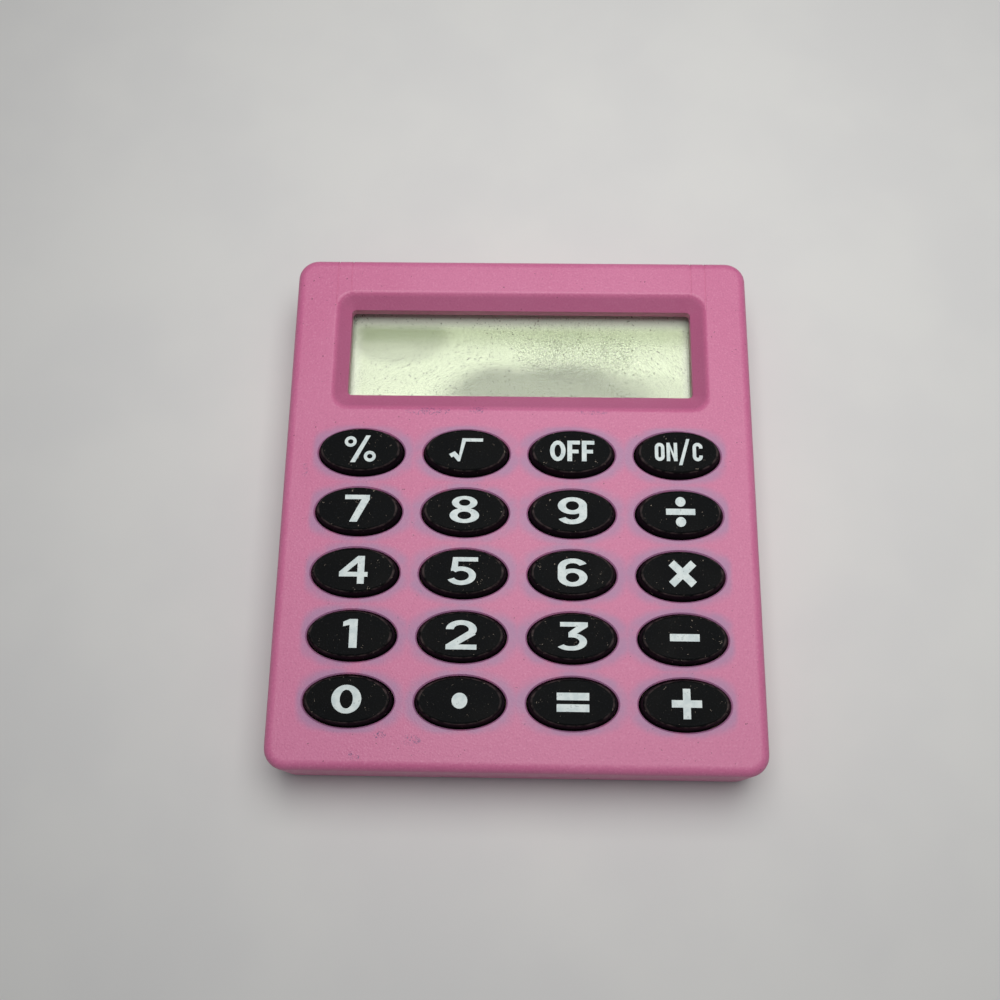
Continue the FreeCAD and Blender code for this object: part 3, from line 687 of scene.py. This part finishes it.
# %% Find the strokes
def strokes_of(bm):
    waiting = set(bm.verts)
    strokes = []
    while waiting:
        frontier = [waiting.pop()]
        stroke = list(frontier)
        while frontier:
            vert = frontier.pop()
            for edge in vert.link_edges:
                other = edge.other_vert(vert)
                if other in waiting:
                    waiting.remove(other)
                    frontier.append(other)
                    stroke.append(other)
        strokes.append(stroke)
    return sorted(strokes, key=lambda stroke: min((v.co.x + v.co.y, v.co.x, v.co.y) for v in stroke))


trial = bmesh.new()
sign_divide(trial)
print("the dividing sign has", len(strokes_of(trial)), "strokes")
trial.free()

# %% [markdown]
# Now the print itself: draw, centre, scale, thicken stroke by stroke, cut into fields, and bend to the
# crown of the key.


# %% Print every key
def print_sign(key, draw, width, height):
    bm = bmesh.new()
    draw(bm)
    lows = [min(v.co[i] for v in bm.verts) for i in (0, 1)]
    highs = [max(v.co[i] for v in bm.verts) for i in (0, 1)]
    drawn_middle = Vector(((lows[0] + highs[0]) / 2, (lows[1] + highs[1]) / 2, 0))
    bmesh.ops.translate(bm, verts=bm.verts, vec=-drawn_middle)
    grow = Vector((width / (highs[0] - lows[0]), height / (highs[1] - lows[1]), 1)) * MM
    bmesh.ops.scale(bm, verts=bm.verts, vec=grow)
    bmesh.ops.recalc_face_normals(bm, faces=bm.faces)
    for face in bm.faces:
        if face.normal.z < 0:
            face.normal_flip()
    grown = bmesh.ops.extrude_face_region(bm, geom=bm.faces[:])["geom"]
    raised = {item for item in grown if isinstance(item, bmesh.types.BMVert)}
    for layer, stroke in enumerate(strokes_of(bm)):
        lift = (INK_THICKNESS + layer * INK_LAYER) * MM
        bmesh.ops.translate(bm, verts=[v for v in stroke if v in raised], vec=(0, 0, lift))
    bmesh.ops.recalc_face_normals(bm, faces=bm.faces)
    for axis in (Vector((1, 0, 0)), Vector((0, 1, 0))):
        for step in range(-6, 7):
            everything = bm.verts[:] + bm.edges[:] + bm.faces[:]
            cut = axis * step * 0.45 * MM
            bmesh.ops.bisect_plane(bm, geom=everything, plane_co=cut, plane_no=axis)
    centre = middle("key_" + key)
    for vert in bm.verts:
        vert.co.z += crown_height(vert.co.x, vert.co.y) - (KEY_CROWN + 0.008) * MM
    bmesh.ops.translate(bm, verts=bm.verts, vec=(centre.x, centre.y, key_top))
    mesh = bpy.data.meshes.new("legend_" + key)
    bm.to_mesh(mesh)
    bm.free()
    mesh.materials.append(ink)
    legend = bpy.data.objects.new("legend_" + key, mesh)
    bpy.context.scene.collection.objects.link(legend)
    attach(legend, "key_" + key)
    return legend


for key, (draw, width, height) in signs.items():
    print_sign(key, draw, width, height)
print(len(signs), "legends printed")

# %% [markdown]
# ## The display
# The display is off. What shows is the polarising film over a silvery reflector: a pale cream green.
# Greener patches are painted reflection of a darker part of the room, and a pale grey band next to the
# frame is painted light.
# The window in front is clear acrylic. A thin clear sheet is cheapest as a see-through shader with
# some mirror gloss mixed in, because real refraction would need many more light bounces for the same
# look. Seen straight on it mirrors four per cent of the light, and at a slant much more. Schlick's rule
# gives this share from the slant alone, so it is the same on the way in and on the way out.


# %% The polarising film
def polariser():
    material, position = start_material("polarising_film")
    middle_point = middle("display_window")
    low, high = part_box("display_window")
    drift = add(material, "TexNoise", {"Vector": position, "Scale": 1 / (7 * MM), "Detail": 3.0})
    colour = linear("CFD8C1")
    # painted reflection: greener patches where the film would mirror a darker part of the room
    for x, y, half_x, half_y, strength in (
        (-14.5, 3.2, 8.0, 4.6, 0.42),
        (3.0, -5.4, 17.0, 7.4, 1.0),
        (14.0, -5.4, 10.0, 5.6, 0.3),
    ):
        centre = (middle_point.x + x * MM, middle_point.y + y * MM, low.z)
        green = spot(material, position, centre, half_x, half_y)
        amount = add(material, "Math", {0: green, 1: drift}, operation="MULTIPLY")
        colour = lay(material, colour, "5A6644", amount, 0.0, 0.42, strength)
    mottle = add(material, "TexNoise", {"Vector": position, "Scale": 1 / (0.3 * MM), "Detail": 4.0})
    colour = lay(material, colour, "93A07C", mottle, 0.48, 0.7, 0.45)
    split = add(material, "SeparateXYZ", {0: position})
    # painted light: a pale grey band along the back and side edges, next to the frame
    for axis, edge, inward, strength in (
        ("Y", high.y - 1.1 * MM, -1.5 * MM, 1.0),
        ("X", low.x + 1.1 * MM, 1.4 * MM, 0.5),
        ("X", high.x - 1.1 * MM, -1.0 * MM, 0.4),
    ):
        shaded = split.outputs[axis]
        colour = lay(material, colour, "E9EBEC", shaded, edge + inward, edge, strength)
    surface = {"Base Color": colour, "Roughness": 0.5, "IOR": 1.48, "Metallic": 0.25}
    return finish_material(material, add(material, "BsdfPrincipled", surface))


give(polariser(), "lcd_front_polariser")

# %% [markdown]
# The window has two kinds of wear. Grit has been pressed into it and shows as dark specks, crowding
# in the middle where fingers wipe. Hairline scratches are where a tangled noise crosses one level.


# %% The clear window
def acrylic():
    material, position = start_material("clear_acrylic")
    clear = add(material, "BsdfTransparent", {"Color": linear("FBFDF8")})
    gloss = add(material, "BsdfGlossy", {"Color": linear("FFFFFF"), "Roughness": 0.08})
    slant = add(material, "LayerWeight", {"Blend": 0.5}).outputs["Facing"]
    steep = add(material, "Math", {0: slant, 1: 5.0}, operation="POWER")
    mirrored = add(material, "Math", {0: steep, 1: 0.96, 2: 0.04}, operation="MULTIPLY_ADD")
    sheet = add(material, "MixShader", {0: mirrored, 1: clear, 2: gloss})
    where = middle("display_window")
    window_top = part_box("display_window")[1].z
    crowd = spot(material, position, (where.x + 4 * MM, where.y - 2 * MM, window_top), 22, 9)
    grit = add(material, "TexNoise", {"Vector": position, "Scale": 1 / (0.22 * MM), "Detail": 1.0})
    grit = add(material, "Math", {0: crowd, 1: 0.025, 2: grit}, operation="MULTIPLY_ADD")
    specks = add(material, "MapRange", {0: grit, 1: 0.715, 2: 0.735, 4: 0.8})
    dust = add(material, "BsdfDiffuse", {"Color": linear("3C372C")})
    dusty = add(material, "MixShader", {0: specks, 1: sheet, 2: dust})
    tangle = {"Vector": position, "Scale": 1 / (1.6 * MM), "Detail": 3.0, "Distortion": 2.4}
    hairline = add(
        material, "Math", {0: add(material, "TexNoise", tangle), 1: 0.5, 2: 0.014}, operation="COMPARE"
    )
    worn = spot(material, position, (where.x + 7 * MM, where.y + 0.6 * MM, window_top), 9, 5)
    scratches = add(material, "Math", {0: hairline, 1: worn}, operation="MULTIPLY")
    scratches = add(material, "MapRange", {0: scratches, 4: 0.4})
    haze = add(material, "BsdfDiffuse", {"Color": linear("A9B596")})
    return finish_material(material, add(material, "MixShader", {0: scratches, 1: dusty, 2: haze}))


give(acrylic(), "display_window")

# %% [markdown]
# The two glasses of the display are hidden under the film from above and show only at their edges, so
# they are plain glass with a cast that drifts slightly.


# %% The display's glass
def display_glass():
    material, position = start_material("display_glass")
    drift = add(material, "TexNoise", {"Vector": position, "Scale": 1 / (4 * MM)})
    colour = lay(material, linear("E6F0EA"), "F4FAF6", drift, 0.4, 0.6)
    surface = {"Base Color": colour, "Roughness": 0.04, "IOR": 1.52, "Transmission Weight": 1.0}
    return finish_material(material, add(material, "BsdfPrincipled", surface))


give(display_glass(), "lcd_upper_glass", "lcd_lower_glass")

# %% [markdown]
# ## What is inside and behind
# The other pieces show when the case is taken apart or the battery door is open. Each gets the
# finish of its real material: one helper makes a base colour that drifts between two shades at the
# size that the material has, with its own gloss, so metals, film, laminate and foam differ only in
# their values.


# %% One helper for plain finishes
def plain_finish(name, light, dark, size_mm, roughness, metallic=0.0, bumpiness=0.1):
    material, position = start_material(name)
    drift = add(material, "TexNoise", {"Vector": position, "Scale": 1 / (size_mm * MM), "Detail": 3.0})
    fine = add(material, "TexNoise", {"Vector": position, "Scale": 1 / (0.15 * MM), "Detail": 2.0})
    gloss = {0: drift, 1: 0.3, 2: 0.7, 3: roughness - 0.05, 4: roughness + 0.05}
    surface = {
        "Base Color": lay(material, linear(light), dark, drift, 0.35, 0.65),
        "Metallic": metallic,
        "Roughness": add(material, "MapRange", gloss),
        "Normal": add(material, "Bump", {"Height": fine, "Strength": bumpiness, "Distance": 0.02 * MM}),
    }
    return finish_material(material, add(material, "BsdfPrincipled", surface))


print("a finish takes two shades, a size, a roughness and how metallic it is")

# %% [markdown]
# The films and the foam belong to the display. The board is brown paper laminate, the cheapest there
# is, with contacts printed in carbon and a drop of black resin over the chip.

# %% Films, foam and board
give(plain_finish("reflector_film", "C9D3B4", "B7C2A4", 3, 0.25), "lcd_reflector")
give(plain_finish("polyimide_film", "B98A4A", "9C6F35", 2, 0.35), "lcd_flex")
give(plain_finish("closed_cell_foam", "3A3A3C", "29292B", 0.6, 0.9, bumpiness=0.6), "lcd_foam_pad")
give(plain_finish("paper_phenolic_board", "A98550", "8F6B3B", 1.2, 0.5), "circuit_board")
give(plain_finish("carbon_print", "1A1A1B", "101011", 0.5, 0.6), "contact_pads")
give(plain_finish("epoxy_resin", "0F0F10", "1A1A1C", 1.5, 0.2), "chip_resin")
give(plain_finish("ceramic_body", "B79A78", "9E7F5D", 0.8, 0.45), "small_parts")

# %% [markdown]
# The cell is nickel plated, its contacts are tinned spring steel, and the screws are zinc plated. Each
# metal is fully metallic, with its own cast and polish.

# %% Metals
nickel = plain_finish("nickel_plate", "C9C8C4", "B4B3B0", 2.5, 0.28, metallic=1.0)
give(nickel, "cell_can", "cell_cap")
tinned = plain_finish("tinned_spring_steel", "CFCBBE", "B5B1A5", 1.5, 0.32, metallic=1.0)
give(tinned, "contact_positive", "contact_negative")
give(plain_finish("zinc_plated_steel", "B5B4B0", "8F8E8B", 0.8, 0.36, metallic=1.0), "case_screws")

# %% [markdown]
# ## Camera, floor and light
# The camera looks down at the calculator from the front, a little right of its middle, held slightly
# tilted in the hand. Its place is given in the way that a camera on a stand is set up: what it aims
# at, how steeply it looks down, how far it is turned and rolled, and how far away it is.

# %% Place the camera
VIEW_ELEVATION = 72.77
VIEW_TURN = 3.43
VIEW_ROLL = -2.63
VIEW_DISTANCE = 122.15 * MM
VIEW_LENS = 40.7
SENSOR_WIDTH = 36.0
aim = Vector((-2.00 * MM, -0.17 * MM, face_z))
elevation = math.radians(VIEW_ELEVATION)
turn = math.radians(VIEW_TURN)
outward = Vector(
    (
        math.sin(turn) * math.cos(elevation),
        -math.cos(turn) * math.cos(elevation),
        math.sin(elevation),
    )
)
camera_data = bpy.data.cameras.new("camera")
camera_data.lens = VIEW_LENS
camera_data.sensor_width = SENSOR_WIDTH
camera_data.clip_start = 0.01
camera = bpy.data.objects.new("camera", camera_data)
bpy.context.scene.collection.objects.link(camera)
turned = (-outward).to_track_quat("-Z", "Y").to_matrix()
rolled = turned @ Matrix.Rotation(math.radians(VIEW_ROLL), 3, "Z")
camera.matrix_world = Matrix.Translation(aim + outward * VIEW_DISTANCE) @ rolled.to_4x4()
bpy.context.scene.camera = camera
print("camera at", [round(v / MM, 1) for v in camera.matrix_world.translation], "mm")

# %% [markdown]
# The floor is pale card. The light is one large soft panel close above the calculator, a little to the
# right and behind, so the floor grows darker towards the left and the front. A weak panel high above
# and a pale room fill the shadows.


# %% Lay the floor
def pale_card():
    material, position = start_material("pale_card")
    fibre = add(material, "TexNoise", {"Vector": position, "Scale": 1 / (20 * MM), "Detail": 3.0})
    colour = lay(material, linear("DADADA"), "DEDEDD", fibre, 0.35, 0.65)
    surface = {"Base Color": colour, "Roughness": 0.6}
    return finish_material(material, add(material, "BsdfPrincipled", surface))


floor_bm = bmesh.new()
bmesh.ops.create_grid(floor_bm, x_segments=1, y_segments=1, size=0.6)
floor_mesh = bpy.data.meshes.new("floor")
floor_bm.to_mesh(floor_mesh)
floor_bm.free()
floor_mesh.materials.append(pale_card())
floor = bpy.data.objects.new("floor", floor_mesh)
bpy.context.scene.collection.objects.link(floor)
print("floor", [round(v, 2) for v in floor.dimensions], "m")


# %% [markdown]
# A softbox is an area light. Its spread narrows how widely it throws, like the grid on the front of a
# studio lamp, and this keeps the panel's light on the table.


# %% Hang the lights
def softbox(name, size, place, aim_at, power, colour, spread):
    light = bpy.data.lights.new(name, "AREA")
    light.shape = "RECTANGLE"
    light.size, light.size_y = size
    light.energy = power
    light.color = linear(colour)[:3]
    light.spread = math.radians(spread)
    lamp = bpy.data.objects.new(name, light)
    bpy.context.scene.collection.objects.link(lamp)
    facing = (Vector(aim_at) - Vector(place)).to_track_quat("-Z", "Y").to_matrix().to_4x4()
    lamp.matrix_world = Matrix.Translation(place) @ facing
    print(name, power, "W, spread", spread)


softbox("ceiling_panel", (0.14, 0.14), (0.018, 0.040, 0.20), (0.018, 0.040, 0), 0.15, "FFFEFA", 120)
softbox("room_fill", (0.9, 0.7), (0.0, 0.0, 0.9), (0, 0, 0), 0.8, "F6F8FF", 180)

# %% [markdown]
# The room itself is a pale, even grey, which fills the shadows from every side. The standard view
# transform keeps the pink as saturated as its hex value says.

# %% Light the room
world = bpy.data.worlds.new("room")
world.use_nodes = True
world.node_tree.nodes["Background"].inputs["Color"].default_value = linear("E9EAEC")
world.node_tree.nodes["Background"].inputs["Strength"].default_value = 0.16
bpy.context.scene.world = world
bpy.context.scene.view_settings.view_transform = "Standard"
print("view transform", bpy.context.scene.view_settings.view_transform)
